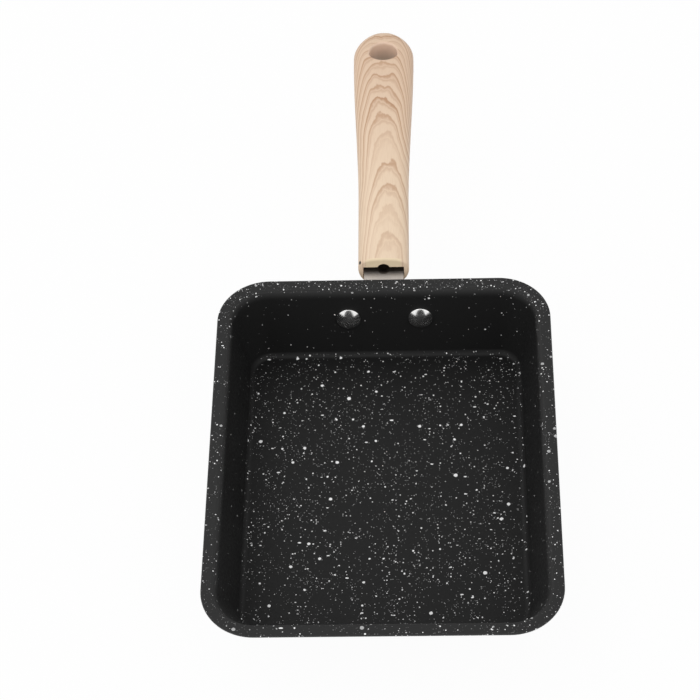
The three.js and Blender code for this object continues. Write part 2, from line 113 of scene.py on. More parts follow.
def wall_inset(height, out, lean=WALL_LEAN):
    """How far a wall's surface lies inside the lip's edge, at a distance out from its inner face."""
    bend_end = LIP_LAND + LIP_BEND * math.cos(lean)
    bend_foot = PAN_HEIGHT - LIP_BEND * (1 - math.sin(lean))
    return bend_end + (bend_foot - height) * math.tan(lean) - out / math.cos(lean)


def foot_bend(level, radius, out, lean):
    """The bend from a wall down to a level face, as (inset, height)."""
    centre = wall_inset(level + radius, out - radius, lean)
    slopes = spread(math.pi / 2 - lean, 0, BEND_STEPS)
    return [(centre - radius * math.sin(a), level + radius * (1 - math.cos(a))) for a in slopes]


def lip_bend(radius, lean):
    """The bend from the lip down to a wall, as (inset, height)."""
    slopes = spread(0, math.pi / 2 - lean, BEND_STEPS)
    centre = PAN_HEIGHT - LIP_BEND
    return [(LIP_LAND + radius * math.sin(a), centre + radius * math.cos(a)) for a in slopes]


def lip_edge():
    """The lip's round outer edge, from its underside to its top."""
    half = SHEET / 2
    turns = spread(-math.pi / 2, math.pi / 2, BEND_STEPS)
    return [(half - half * math.cos(a), PAN_HEIGHT - half + half * math.sin(a)) for a in turns]


def base_grooves(flat_edge):
    """The soft grooves pressed round the base, from the innermost out."""
    profile = []
    for i in reversed(range(GROOVES)):
        inset = flat_edge + GROOVE_MARGIN + i * GROOVE_PITCH
        for a in spread(0, 2 * math.pi, BEND_STEPS):
            share = 1 - a / (2 * math.pi)
            profile.append((inset + GROOVE_WIDTH * share, GROOVE_DEPTH * (1 - math.cos(a)) / 2))
    return profile


def wall_section(lean):
    """A wall cut through, from the middle of the base out, over the lip and down to the floor."""
    outer_foot = foot_bend(0, FLOOR_FILLET + SHEET, SHEET, lean)[::-1]
    outside = base_grooves(outer_foot[0][0]) + outer_foot + lip_bend(LIP_BEND - SHEET, lean)[::-1]
    return outside + lip_edge() + lip_bend(LIP_BEND, lean) + foot_bend(FLOOR, FLOOR_FILLET, 0, lean)


def rim_ring(wall_point, front_point):
    """A rounded rectangle whose back and sides follow one wall section and its front another."""
    inset, height = wall_point
    front_inset, front_height = front_point
    corner = max(RIM_CORNER - inset, CORNER_LEAST)
    x, back = RIM_WIDTH / 2 - inset - corner, RIM_LENGTH / 2 - inset - corner
    front = front_inset + corner - RIM_LENGTH / 2
    ring = []
    for quarter, (cx, cy) in enumerate([(x, back), (-x, back), (-x, front), (x, front)]):
        for turn in spread(0, math.pi / 2, CORNER_STEPS):
            angle = turn + quarter * math.pi / 2
            to_front = max(0, -math.sin(angle)) ** 2
            level = height + (front_height - height) * to_front
            ring.append((cx + corner * math.cos(angle), cy + corner * math.sin(angle), level))
    return ring


def paint(code):
    """A colour written as #rrggbb, in the linear light that a shader takes."""
    channels = [int(code[i:i + 2], 16) / 255 for i in (1, 3, 5)]
    return [((c + 0.055) / 1.055) ** 2.4 if c > 0.04 else c / 12.92 for c in channels] + [1]


def feed(tree, node, inputs):
    """Sets a shader node's inputs to values, or links them to other nodes' outputs."""
    for socket, value in inputs.items():
        if isinstance(value, bpy.types.NodeSocket):
            tree.links.new(value, node.inputs[socket])
        else:
            node.inputs[socket].default_value = value


def add(tree, kind, inputs=None, **settings):
    """A new shader node with its settings and inputs."""
    node = tree.nodes.new("ShaderNode" + kind)
    for setting, value in settings.items():
        setattr(node, setting, value)
    feed(tree, node, inputs or {})
    return node


def sums(tree, operation, first, second=0.0):
    """The result of one sum on two values."""
    return add(tree, "Math", {0: first, 1: second}, operation=operation).outputs[0]


def ramp(tree, value, low, high, to_low=0.0, to_high=1.0):
    """A value eased from one range into another, and held at the ends."""
    inputs = {"Value": value, "From Min": low, "From Max": high, "To Min": to_low, "To Max": to_high}
    return add(tree, "MapRange", inputs, interpolation_type="SMOOTHSTEP").outputs["Result"]


def tint(tree, share, first, second):
    """A colour between two colours, which are the mixing node's sockets 6 and 7."""
    mixed = add(tree, "Mix", {"Factor": share, 6: first, 7: second}, data_type="RGBA")
    return mixed.outputs[2]


def noise(tree, place, waves, detail):
    """A cloudy value, with about this many waves to each unit of the place."""
    return add(tree, "TexNoise", {"Vector": place, "Scale": waves, "Detail": detail}).outputs["Fac"]


def relief(tree, height, strength, depth, **under):
    """A fine relief in the finish, as a normal. The depth is in millimetres."""
    inputs = {"Height": height, "Strength": strength, "Distance": depth * MM, **under}
    return add(tree, "Bump", inputs).outputs[0]


def finish_of(name):
    """A new material and its surface shader."""
    material = bpy.data.materials.new(name)
    material.use_nodes = True
    return material.node_tree, material, material.node_tree.nodes["Principled BSDF"]


def node_group(name, inputs, outputs):
    """A shader node group with named sockets, and its two ends."""
    group = bpy.data.node_groups.new(name, "ShaderNodeTree")
    for socket, kind in inputs.items():
        group.interface.new_socket(socket, in_out="INPUT", socket_type="NodeSocket" + kind)
    for socket, kind in outputs.items():
        group.interface.new_socket(socket, in_out="OUTPUT", socket_type="NodeSocket" + kind)
    return group, group.nodes.new("NodeGroupInput"), group.nodes.new("NodeGroupOutput")


FLECK_WHITE = paint("#ffffff")
FLECK_LEAST = 0.5
FLECK_CORE = 0.85
FLECK_BURIED = 0.1
NOISE_MIDDLE = (0.5, 0.5, 0.5)
EDGE_WAVES = 1600
EDGE_WANDER = 0.4
DASH_TURN = 0.6
DASH_STRETCH = (0.45, 1, 1)
DRIFT_WAVES = 70
DRIFT_RANGE = (0.35, 0.62)
DRIFT_SHARE = (0.4, 1)
HEAP_SHARE = (0.3, 1.3)
WALL_SHARE = 0.12
LIP_CHIP_SHARE = 0.5
DUST_SHARE = 0.3

flecks, fleck_in, fleck_out = node_group(
    "flecks",
    {"Place": "Vector", "Cell": "Float", "Radius": "Float", "Chance": "Float", "Faintest": "Float"},
    {"Mask": "Float"},
)
cells = add(flecks, "TexVoronoi", {
    "Vector": fleck_in.outputs["Place"],
    "Scale": sums(flecks, "DIVIDE", 1 / MM, fleck_in.outputs["Cell"]),
})
lots = add(flecks, "SeparateColor", {"Color": cells.outputs["Color"]}).outputs
from_middle = sums(flecks, "MULTIPLY", cells.outputs["Distance"], fleck_in.outputs["Cell"])
share = ramp(flecks, lots["Red"], 0, 1, FLECK_LEAST, 1)
radius = sums(flecks, "MULTIPLY", fleck_in.outputs["Radius"], share)
dot = ramp(flecks, from_middle, radius, sums(flecks, "MULTIPLY", radius, FLECK_CORE))
present = sums(flecks, "LESS_THAN", lots["Green"], fleck_in.outputs["Chance"])
buried = ramp(flecks, lots["Blue"], FLECK_BURIED, 1, fleck_in.outputs["Faintest"], 1)
fleck_mask = sums(flecks, "MULTIPLY", sums(flecks, "MULTIPLY", dot, present), buried)
flecks.links.new(fleck_mask, fleck_out.inputs["Mask"])


def fleck_layer(tree, place, density, cell, radius, chance, faintest):
    """Flecks of one size in millimetres, each by chance in its cell, the deepest ones the faintest."""
    return add(tree, "Group", {
        "Place": place,
        "Cell": cell,
        "Radius": radius,
        "Chance": sums(tree, "MULTIPLY", density, chance),
        "Faintest": faintest,
    }, node_tree=flecks).outputs["Mask"]


def sprinkled(tree, place, axes, level, on_lip):
    """Where flecks show: many on level faces, few on the walls, and heaped along the back lip."""
    wander = add(tree, "TexNoise", {"Vector": place, "Scale": EDGE_WAVES, "Detail": 1}).outputs["Color"]
    wander = add(tree, "VectorMath", {0: wander, 1: NOISE_MIDDLE}, operation="SUBTRACT").outputs[0]
    shifted = {0: wander, 1: (EDGE_WANDER * MM,) * 3, 2: place}
    ragged = add(tree, "VectorMath", shifted, operation="MULTIPLY_ADD").outputs[0]
    drawn_out = {"Vector": ragged, "Rotation": (0, 0, DASH_TURN), "Scale": DASH_STRETCH}
    streaked = add(tree, "Mapping", drawn_out).outputs[0]
    drift = ramp(tree, noise(tree, place, DRIFT_WAVES, detail=2), *DRIFT_RANGE, *DRIFT_SHARE)
    to_back = ramp(tree, axes["Y"], pan_high.y / 2, pan_high.y, *HEAP_SHARE)
    heaped = sums(tree, "MULTIPLY", on_lip, to_back)
    shower = sums(tree, "MAXIMUM", ramp(tree, level, 0, 1, WALL_SHARE, 1), on_lip)
    cluster = sums(tree, "MULTIPLY", shower, sums(tree, "MAXIMUM", drift, heaped))
    dust = fleck_layer(tree, ragged, cluster, cell=0.7, radius=0.24, chance=0.35, faintest=0.1)
    pins = fleck_layer(tree, ragged, cluster, cell=1, radius=0.3, chance=0.16, faintest=0.7)
    grit = fleck_layer(tree, ragged, cluster, cell=1.6, radius=0.43, chance=0.13, faintest=0.9)
    chips = fleck_layer(tree, ragged, shower, cell=4, radius=1, chance=0.16, faintest=0.9)
    dashes = fleck_layer(tree, streaked, shower, cell=2.6, radius=0.44, chance=0.19, faintest=0.8)
    chips = sums(tree, "MULTIPLY", chips, ramp(tree, on_lip, 0, 1, 1, LIP_CHIP_SHARE))
    dust = sums(tree, "MULTIPLY", dust, DUST_SHARE)
    bold = sums(tree, "MAXIMUM", chips, dashes)
    fine = sums(tree, "MAXIMUM", sums(tree, "MAXIMUM", grit, pins), dust)
    return sums(tree, "MAXIMUM", bold, fine)


FLOOR_BLACK = paint("#1a1a1a")
# Painted light: the walls are painted a shade lighter than the floor, and lighter still towards the front.
WALL_PAINTED_LIGHT = paint("#212121")
FRONT_WALL_PAINTED_LIGHT = paint("#2d2d2d")
# Painted sheen: the lip is painted lighter than the coat below it, its steep inner edge most of all.
LIP_TOP_PAINTED_SHEEN = paint("#292929")
LIP_EDGE_PAINTED_SHEEN = paint("#3f3f3f")
# Painted highlight along the bends of the coat, fainter on the side walls.
BEND_PAINTED_HIGHLIGHT = paint("#383838")
BEND_HIGHLIGHT_SHARE = (0.42, 0.2)
LEVEL_FACING = (0.3, 0.8)
SIDE_FACING = (0.2, 0.6)
BEND_RISE = (0.2, 0.5)
BEND_FALL = (0.99, 0.85)
LIP_FADE = 5.88
PEEL_WAVES = 900
NOISE_RANGE = (0.3, 0.7)
COAT_ROUGHNESS = (0.42, 0.56)
COAT_GLOSS = 0.15


def speckled_coat():
    """Black with a fine sprayed relief, painted lighter on walls and lip, and with a painted highlight on
    bends.
    """
    tree, material, surface = finish_of("speckled non-stick coat")
    where = add(tree, "TexCoord").outputs
    place = where["Object"]
    axes = add(tree, "SeparateXYZ", {"Vector": place}).outputs
    facing = add(tree, "SeparateXYZ", {"Vector": where["Normal"]}).outputs
    upright = sums(tree, "ABSOLUTE", facing["Z"])
    sideways = sums(tree, "ABSOLUTE", facing["X"])
    level = ramp(tree, upright, *LEVEL_FACING)
    on_bend = sums(tree, "MULTIPLY", ramp(tree, upright, *BEND_RISE), ramp(tree, upright, *BEND_FALL))
    on_lip = ramp(tree, axes["Z"], (PAN_HEIGHT - LIP_FADE) * MM, (PAN_HEIGHT - SHEET / 2) * MM)
    # Painted highlight along the bends.
    bend_highlight = sums(tree, "MULTIPLY", on_bend, ramp(tree, sideways, *SIDE_FACING, *BEND_HIGHLIGHT_SHARE))
    # Painted light on the walls, lighter towards the front.
    painted_wall_light = tint(tree, ramp(tree, axes["Y"], pan_low.y, 0), FRONT_WALL_PAINTED_LIGHT, WALL_PAINTED_LIGHT)
    # Painted sheen on the lip.
    lip_painted_sheen = tint(tree, level, LIP_EDGE_PAINTED_SHEEN, LIP_TOP_PAINTED_SHEEN)
    black = tint(tree, level, painted_wall_light, FLOOR_BLACK)
    black = tint(tree, on_lip, black, lip_painted_sheen)
    black = tint(tree, bend_highlight, black, BEND_PAINTED_HIGHLIGHT)
    mask = sprinkled(tree, place, axes, level, on_lip)
    spray = noise(tree, place, PEEL_WAVES, detail=3)
    peel = relief(tree, spray, strength=0.35, depth=0.05)
    feed(tree, surface, {
        "Base Color": tint(tree, mask, black, FLECK_WHITE),
        "Roughness": ramp(tree, spray, *NOISE_RANGE, *COAT_ROUGHNESS),
        "Normal": relief(tree, mask, strength=0.4, depth=0.1, Normal=peel),
        "Specular IOR Level": COAT_GLOSS,
    })
    return material


pan = piece("pan", [rim_ring(*points) for points in zip(wall_section(WALL_LEAN), wall_section(FRONT_LEAN))])
shade_round(pan, speckled_coat())
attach(pan, "root")
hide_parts("pan_body")


# The rivets: two solid aluminium rivets that hold the bracket to the back wall. Each has a polished domed
# head inside the pan and a flatter tail that is closed over the bracket outside.
RIVET_PITCH = 33
RIVET_DROP = 17
RIVET_HEAD = 11.2
RIVET_HEAD_GAP = 0.02
RIVET_HEIGHT = 2.6
RIVET_BALL = 8.7
RIVET_ROUND = 0.5
RIVET_SHANK = 5
RIVET_TAIL = 8.6
RIVET_TAIL_HEIGHT = 1.8
STRAP = 1.5
SEAT = 0.3
ROUND_STEPS = 64
ALUMINIUM = paint("#f6f6f5")
ALUMINIUM_ROUGHNESS = 0.17
HAZE_GREY = paint("#f0efed")
HAZE_WAVES = 700
HAZE_ROUGHNESS = 0.08

rivet_height = PAN_HEIGHT - RIVET_DROP
rivet_row = RIM_LENGTH / 2 - wall_inset(rivet_height, 0)
wall_frame = Matrix.Translation(Vector((0, rivet_row, rivet_height)) * MM)
wall_frame = wall_frame @ Matrix.Rotation(math.pi / 2 - WALL_LEAN, 4, "X")
flange_face = -(SHEET + SEAT + STRAP)


def turned(profile):
    """Rings of a body turned about Z, from (radius, height) pairs."""
    turns = spread(0, 2 * math.pi, ROUND_STEPS)[:-1]
    return [[(r * math.cos(a), r * math.sin(a), z) for a in turns] for r, z in profile]


def rivet_profile():
    """A closed tail, the shank, and a head with a round edge under a shallow dome."""
    head, shank, tail = RIVET_HEAD / 2, RIVET_SHANK / 2, RIVET_TAIL / 2
    tail_seat = flange_face - SEAT / 2
    tail_top = tail_seat - RIVET_TAIL_HEIGHT
    edge = RIVET_TAIL_HEIGHT / 2
    profile = [(tail - edge + edge * math.sin(a), tail_top + edge * (1 - math.cos(a)))
               for a in spread(0, math.pi / 2, BEND_STEPS)]
    profile += [(tail, tail_seat), (shank, tail_seat), (shank, RIVET_HEAD_GAP), (head, RIVET_HEAD_GAP)]
    ball_centre = SEAT + RIVET_HEIGHT - RIVET_BALL
    edge_slope = math.asin((head - RIVET_ROUND) / (RIVET_BALL - RIVET_ROUND))
    edge_centre = ball_centre + (RIVET_BALL - RIVET_ROUND) * math.cos(edge_slope)
    for a in spread(math.pi / 2, edge_slope, BEND_STEPS)[:-1]:
        profile.append((head - RIVET_ROUND * (1 - math.sin(a)), edge_centre + RIVET_ROUND * math.cos(a)))
    slopes = spread(edge_slope, 0, 2 * BEND_STEPS)[:-1]
    return profile + [(RIVET_BALL * math.sin(a), ball_centre + RIVET_BALL * math.cos(a)) for a in slopes]


haze, haze_in, haze_out = node_group("haze", {"Place": "Vector", "Waves": "Float"}, {"Mask": "Float"})
haze_mask = noise(haze, haze_in.outputs["Place"], haze_in.outputs["Waves"], detail=4)
haze.links.new(haze_mask, haze_out.inputs["Mask"])


def hazy_metal(name, colour, roughness):
    """Bright metal that is a little duller and greyer in places."""
    tree, material, surface = finish_of(name)
    place = add(tree, "TexCoord").outputs["Object"]
    dull = add(tree, "Group", {"Place": place, "Waves": HAZE_WAVES}, node_tree=haze).outputs["Mask"]
    feed(tree, surface, {
        "Base Color": tint(tree, dull, HAZE_GREY, colour),
        "Roughness": ramp(tree, dull, *NOISE_RANGE, roughness, roughness + HAZE_ROUGHNESS),
        "Metallic": 1,
    })
    return material


rivet_finish = hazy_metal("polished aluminium", ALUMINIUM, ALUMINIUM_ROUGHNESS)
for name, side in (("rivet_left", -1), ("rivet_right", 1)):
    at = wall_frame @ Matrix.Translation((side * RIVET_PITCH / 2 * MM, 0, 0))
    rivet = piece(name + "_head", turned(rivet_profile()), at)
    shade_round(rivet, rivet_finish)
    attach(rivet, "root")
    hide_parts(name)


# The bracket: a blank of steel strip with a wide foot. The foot is riveted to the wall, and the strip is
# folded out level with the lip, pressed with a stiffening bead and brushed where it shows. Its tongue runs
# into the handle; from inside the mouth and at the bead's end it is painted dark, as painted shade.
STRAP_WIDTH = 18
BRACKET_BEND = 2
FLANGE_BELOW = 7.5
FLANGE_END = 7
FLANGE_CORNER = 4.5
NECK_FILLET = 2
BEAD_RADIUS = 3.1
BEAD_FRONT = 3
BEAD_BACK = 22
TONGUE = 46
TONGUE_CORNER = 2
STRAP_DROP = 1.9
HANDLE_GAP = 6
MOUTH_DROP = 0.8
HANDLE_RISE = math.radians(10)
BLANK_CELL = 0.8
SHEARED_EDGE = 0.25
SHEARED_EDGE_STEPS = 2
STEEL_DARK = paint("#9d968f")
STEEL_PALE = paint("#c2bcb6")
# Painted shade: the tongue is painted dark from just inside the mouth, and so is a round patch at the bead's
# end.
STEEL_PAINTED_SHADE = paint("#857d75")
SHADE_FROM = 0.2
SHADE_EDGE = 0.3
BEAD_SHADE_AT = (0, 2, -STRAP_DROP)
BRUSH_WAVES = (9000, 160, 160)
BRUSH_ROUGHNESS = (0.34, 0.42)
CLOUD_WAVES = 120
CLOUD_ROUGHNESS = (-0.04, 0.06)

grip = Matrix.Translation(Vector((0, RIM_LENGTH / 2 + HANDLE_GAP, PAN_HEIGHT - MOUTH_DROP)) * MM)
grip = grip @ Matrix.Rotation(HANDLE_RISE, 4, "X")
up_wall = Vector((0, math.sin(WALL_LEAN), math.cos(WALL_LEAN)))
off_wall = Vector((0, math.cos(WALL_LEAN), -math.sin(WALL_LEAN)))
along = Vector((0, math.cos(HANDLE_RISE), math.sin(HANDLE_RISE)))
above = Vector((0, -math.sin(HANDLE_RISE), math.cos(HANDLE_RISE)))
foot_line = wall_frame.translation / MM + off_wall * (SHEET + SEAT + STRAP / 2)
mouth_line = grip.translation / MM - above * (STRAP_DROP + STRAP / 2)
fold_radius = BRACKET_BEND + STRAP / 2
fold_turn = math.pi / 2 - WALL_LEAN - HANDLE_RISE
fold_start = (mouth_line - foot_line).dot(above) / up_wall.dot(above) - fold_radius * math.tan(fold_turn / 2)
fold_end = fold_start + fold_radius * fold_turn
fold_centre = foot_line + up_wall * fold_start + off_wall * fold_radius
strap_start = fold_centre + above * fold_radius
mouth_at = fold_end + (mouth_line - strap_start).dot(along)


def arc(x, y, radius, start, end):
    """Points of an arc in the blank's plane."""
    return [(x + radius * math.cos(a), y + radius * math.sin(a)) for a in spread(start, end, BEND_STEPS)]


def blank_outline():
    """The flat strip before folding: across it, and along it from the rivets' line."""
    end, neck, half = RIVET_PITCH / 2 + FLANGE_END, STRAP_WIDTH / 2, math.pi / 2
    low, high, tip = -FLANGE_BELOW, fold_start - NECK_FILLET, mouth_at + TONGUE
    right = arc(end - FLANGE_CORNER, low + FLANGE_CORNER, FLANGE_CORNER, -half, 0)
    right += arc(end - FLANGE_CORNER, high - FLANGE_CORNER, FLANGE_CORNER, 0, half)
    right += arc(neck + NECK_FILLET, fold_start, NECK_FILLET, -half, -math.pi)
    right += arc(neck - TONGUE_CORNER, tip - TONGUE_CORNER, TONGUE_CORNER, 0, half)
    return right + [(-x, y) for x, y in reversed(right)]


def folded(x, y):
    """Where a point of the blank lies once the strip is folded and its bead is pressed."""
    side = Vector((x, 0, 0))
    if y < fold_start:
        return side + foot_line + up_wall * y
    if y < fold_end:
        angle = (y - fold_start) / fold_radius
        return side + fold_centre + (up_wall * math.sin(angle) - off_wall * math.cos(angle)) * fold_radius
    inside = y - mouth_at
    beyond = max(0, BEAD_FRONT - inside, inside - BEAD_BACK)
    round_left = (BEAD_RADIUS + STRAP / 2) ** 2 - x ** 2 - beyond ** 2
    bead = max(0, math.sqrt(max(0, round_left)) - STRAP_DROP - STRAP / 2)
    return side + strap_start + along * (y - fold_end) - above * bead


def bracket_mesh():
    """The middle sheet of the strip: the blank, split into cells so that it can bend, and folded."""
    work = bmesh.new()
    outline = blank_outline()
    work.faces.new([work.verts.new((x, y, 0)) for x, y in outline])
    for axis in (0, 1):
        low, high = min(p[axis] for p in outline), max(p[axis] for p in outline)
        for split in spread(low, high, round((high - low) / BLANK_CELL))[1:-1]:
            where = Vector((0, 0, 0))
            where[axis] = split
            normal = Vector((0, 0, 0))
            normal[axis] = 1
            everything = work.verts[:] + work.edges[:] + work.faces[:]
            bmesh.ops.bisect_plane(work, geom=everything, plane_co=where, plane_no=normal)
    for vertex in work.verts:
        vertex.co = folded(vertex.co.x, vertex.co.y) * MM
    mesh = bpy.data.meshes.new("bracket")
    work.to_mesh(mesh)
    work.free()
    return mesh


def in_handle(tree, place):
    """A place in the handle's own frame: millimetres across, along and above its middle line."""
    inputs = {
        "Vector": place,
        "Location": grip.translation,
        "Rotation": (HANDLE_RISE, 0, 0),
        "Scale": (MM, MM, MM),
    }
    return add(tree, "Mapping", inputs, vector_type="TEXTURE").outputs[0]


grain, grain_in, grain_out = node_group(
    "grain", {"Place": "Vector", "Waves": "Vector", "Detail": "Float"}, {"Mask": "Float"})
drawn_out = add(grain, "Mapping", {"Vector": grain_in.outputs["Place"], "Scale": grain_in.outputs["Waves"]})
grain_mask = noise(grain, drawn_out.outputs[0], 1, grain_in.outputs["Detail"])
grain.links.new(grain_mask, grain_out.inputs["Mask"])


def grain_layer(tree, place, waves, detail):
    """A cloudy value drawn out into lines, with its own number of waves along each axis."""
    inputs = {"Place": place, "Waves": waves, "Detail": detail}
    return add(tree, "Group", inputs, node_tree=grain).outputs["Mask"]


def away(tree, place, point):
    """How far a place lies from a point."""
    return add(tree, "VectorMath", {0: place, 1: point}, operation="DISTANCE").outputs["Value"]


def brushed_steel():
    """Steel brushed along the strip, painted dark as painted shade inside the mouth and at the bead's end.
    """
    tree, material, surface = finish_of("brushed steel")
    place = add(tree, "TexCoord").outputs["Object"]
    from_mouth = in_handle(tree, place)
    deep = add(tree, "SeparateXYZ", {"Vector": from_mouth}).outputs["Y"]
    # Painted shade inside the mouth and at the bead's end.
    tongue_shade = ramp(tree, deep, SHADE_FROM, SHADE_FROM + SHADE_EDGE)
    bead_shade = ramp(tree, away(tree, from_mouth, BEAD_SHADE_AT), BEAD_RADIUS, BEAD_RADIUS - SHADE_EDGE)
    brush = grain_layer(tree, place, BRUSH_WAVES, detail=4)
    cloud = noise(tree, place, CLOUD_WAVES, detail=3)
    steel = tint(tree, brush, STEEL_DARK, STEEL_PALE)
    brushing = ramp(tree, brush, *NOISE_RANGE, *BRUSH_ROUGHNESS)
    clouding = ramp(tree, cloud, *NOISE_RANGE, *CLOUD_ROUGHNESS)
    feed(tree, surface, {
        "Base Color": tint(tree, sums(tree, "MAXIMUM", tongue_shade, bead_shade), steel, STEEL_PAINTED_SHADE),
        "Roughness": sums(tree, "ADD", brushing, clouding),
        "Normal": relief(tree, brush, strength=0.15, depth=0.02),
        "Metallic": 1,
    })
    return material


bracket = bpy.data.objects.new("bracket", bracket_mesh())
bpy.context.scene.collection.objects.link(bracket)
thicken = bracket.modifiers.new("sheet", "SOLIDIFY")
thicken.thickness = STRAP * MM
thicken.offset = 0
soften = bracket.modifiers.new("sheared edges", "BEVEL")
soften.width = SHEARED_EDGE * MM
soften.segments = SHEARED_EDGE_STEPS
soften.limit_method = "ANGLE"
soften.angle_limit = SHARP_EDGE
shade_round(bracket, brushed_steel())
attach(bracket, "root")
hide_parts("handle_bracket")


# The handle: one moulding of hard plastic under a printed wood grain. It slides over the bracket's tongue
# through a slot in its leaning mouth, and an oval hole through its tail hangs it on a hook. The print stops
# at the slot and the hole. Its runs are measured from the mouth, and its waves counted to the millimetre.
HANDLE_ARCH = math.radians(10)
HANDLE_LENGTH = 136
HANDLE_STRAIGHT = 50
FRONT_WIDTH = 23.3
TAIL_WIDTH = 28.9
FRONT_TOP = 6
GRIP_TOP = 7.2
FRONT_UNDER = 9
BELLY_UNDER = 11
TAIL_UNDER = 8.8
GRIP_START = 34
TOP_SQUARENESS = 2.8
UNDER_SQUARENESS = 2.2
TAIL_BLUNTNESS = 5
TAIL_END = math.radians(81)
MOUTH_LEAN = math.radians(20)
MOUTH_ROUND = 1
PLAY = 0.3
SLOT_SPARE = 3
SLOT_ROUND = 0.4
NUT = 2.7
HOLE_FROM_TAIL = 15.8
HOLE_WIDTH = 13.3
HOLE_FRONT = 4.2
HOLE_BACK = 6.6
HOLE_ROUND = 1.4
SCREW_AT = 38
SCREW = 5
SCREW_HEAD = 9
SCREW_WALL = 1.8
OVERSHOOT = 2
SECTION_POINTS = 120
GRIP_STEPS = 70
TAIL_STEPS = 26

tail_centre = HANDLE_LENGTH - TAIL_WIDTH / 2
tail_reach = TAIL_WIDTH / 2 * math.sin(TAIL_END)
arch_radius = (HANDLE_LENGTH - HANDLE_STRAIGHT) / HANDLE_ARCH
hole_at = HANDLE_LENGTH - HOLE_FROM_TAIL
strap_under = -(STRAP_DROP + STRAP)
nut_top = SEAT + NUT - STRAP_DROP
slot_roof = nut_top + PLAY
washer_seat = strap_under - PLAY - SCREW_WALL


def blend(first, last, start, end, place):
    """A smooth change between two places along the handle."""
    share = min(1, max(0, (place - start) / (end - start)))
    return first + (last - first) * share * share * (3 - 2 * share)


def section(place):
    """The handle's half width, and its reach above and below its middle line."""
    width = blend(FRONT_WIDTH, TAIL_WIDTH, GRIP_START, tail_centre, place) / 2
    top = blend(FRONT_TOP, GRIP_TOP, 0, GRIP_START, place)
    belly = blend(FRONT_UNDER, BELLY_UNDER, 0, GRIP_START, place)
    under = blend(belly, TAIL_UNDER, HANDLE_STRAIGHT, tail_centre, place)
    from_mouth = max(0, 1 - place / MOUTH_ROUND)
    edge = MOUTH_ROUND * (1 - math.sqrt(1 - from_mouth ** 2))
    to_tail = max(0, (place - tail_centre) / tail_reach)
    narrowing = math.sqrt(1 - to_tail ** 2)
    thinning = (1 - to_tail ** TAIL_BLUNTNESS) ** (1 / TAIL_BLUNTNESS)
    return (width - edge) * narrowing, (top - edge) * thinning, (under - edge) * thinning


def grip_frame(place):
    """The handle's middle line: straight over the slot, then a gentle arch back down."""
    angle = max(0, place - HANDLE_STRAIGHT) / arch_radius
    y = min(place, HANDLE_STRAIGHT) + arch_radius * math.sin(angle)
    z = -arch_radius * (1 - math.cos(angle))
    return Matrix.Translation((0, y, z)) @ Matrix.Rotation(-angle, 4, "X")


def grip_ring(place):
    """The outline of a section: squarer above than below, and leaning back near the mouth."""
    width, top, under = section(place)
    lean = math.tan(MOUTH_LEAN) * blend(1, 0, 0, GRIP_START, place)
    at = grip_frame(place)
    ring = []
    for turn in spread(0, 2 * math.pi, SECTION_POINTS)[1:]:
        reach, power = (top, 2 / TOP_SQUARENESS) if math.cos(turn) > 0 else (under, 2 / UNDER_SQUARENESS)
        x = math.copysign(width * abs(math.sin(turn)) ** power, math.sin(turn))
        z = math.copysign(reach * abs(math.cos(turn)) ** power, math.cos(turn))
        ring.append(at @ Vector((x, z * lean, z)))
    return ring


def handle_rings():
    """The whole handle, from its rounded mouth to the end of its tail."""
    mouth = [MOUTH_ROUND * (1 - math.cos(a)) for a in spread(0, math.pi / 2, BEND_STEPS)]
    body = spread(MOUTH_ROUND, tail_centre, GRIP_STEPS)[1:]
    tail = spread(0, math.pi / 2, TAIL_STEPS)[1:-1]
    end = [tail_centre + tail_reach * math.sin(a) for a in tail]
    return [grip_ring(place) for place in mouth + body + end]


def slot_rings():
    """The slot in the mouth, with a round bore for the strap's bead and an eased front edge."""
    side, low = STRAP_WIDTH / 2 + PLAY, strap_under - PLAY
    over, beneath = BEAD_RADIUS, BEAD_RADIUS + STRAP + PLAY
    over_turn, under_turn = math.asin(slot_roof / over), math.asin(low / beneath)
    outline = [(-side, slot_roof), (-side, low)]
    outline += arc(0, 0, beneath, -math.pi - under_turn, under_turn)
    outline += [(side, low), (side, slot_roof)]
    outline += arc(0, 0, over, over_turn, math.pi - over_turn)
    outline.reverse()
    lean = math.tan(MOUTH_LEAN)
    eased = [(SLOT_ROUND * (1 - math.sin(a)), SLOT_ROUND * (1 - math.cos(a)))
             for a in spread(0, math.pi / 2, BEND_STEPS // 2)]
    rings = []
    for out, place in [(SLOT_ROUND, -OVERSHOOT)] + eased:
        grown = [(x * (1 + out / side), z + math.copysign(out, z + STRAP_DROP)) for x, z in outline]
        rings.append([(x, place + z * lean, z) for x, z in grown])
    return rings + [[(x, TONGUE + SLOT_SPARE, z) for x, z in outline]]


def hole_rings():
    """The oval hanging hole, fuller towards the tail, with its edges rounded over."""
    _, top, under = section(hole_at)
    flare = [(HOLE_ROUND * (1 - math.cos(a)), HOLE_ROUND * (1 - math.sin(a)))
             for a in spread(math.pi / 2, 0, BEND_STEPS)]
    levels = [(HOLE_ROUND, -under - OVERSHOOT)] + [(out, back - under) for out, back in flare]
    levels += [(out, top - back) for out, back in reversed(flare)] + [(HOLE_ROUND, top + OVERSHOOT)]
    at = grip_frame(hole_at)
    rings = []
    for out, level in levels:
        ring = []
        for a in spread(0, 2 * math.pi, ROUND_STEPS)[1:]:
            lengthwise = (HOLE_BACK if a < math.pi else HOLE_FRONT) + out
            ring.append(at @ Vector(((HOLE_WIDTH / 2 + out) * math.cos(a), lengthwise * math.sin(a), level)))
        rings.append(ring)
    return rings


def screw_well_rings(diameter, low, high):
    """A round bore for the screw, from one height to another."""
    bore = turned([(diameter / 2, low), (diameter / 2, high)])
    return [[(x, y + SCREW_AT, z) for x, y, z in ring] for ring in bore]


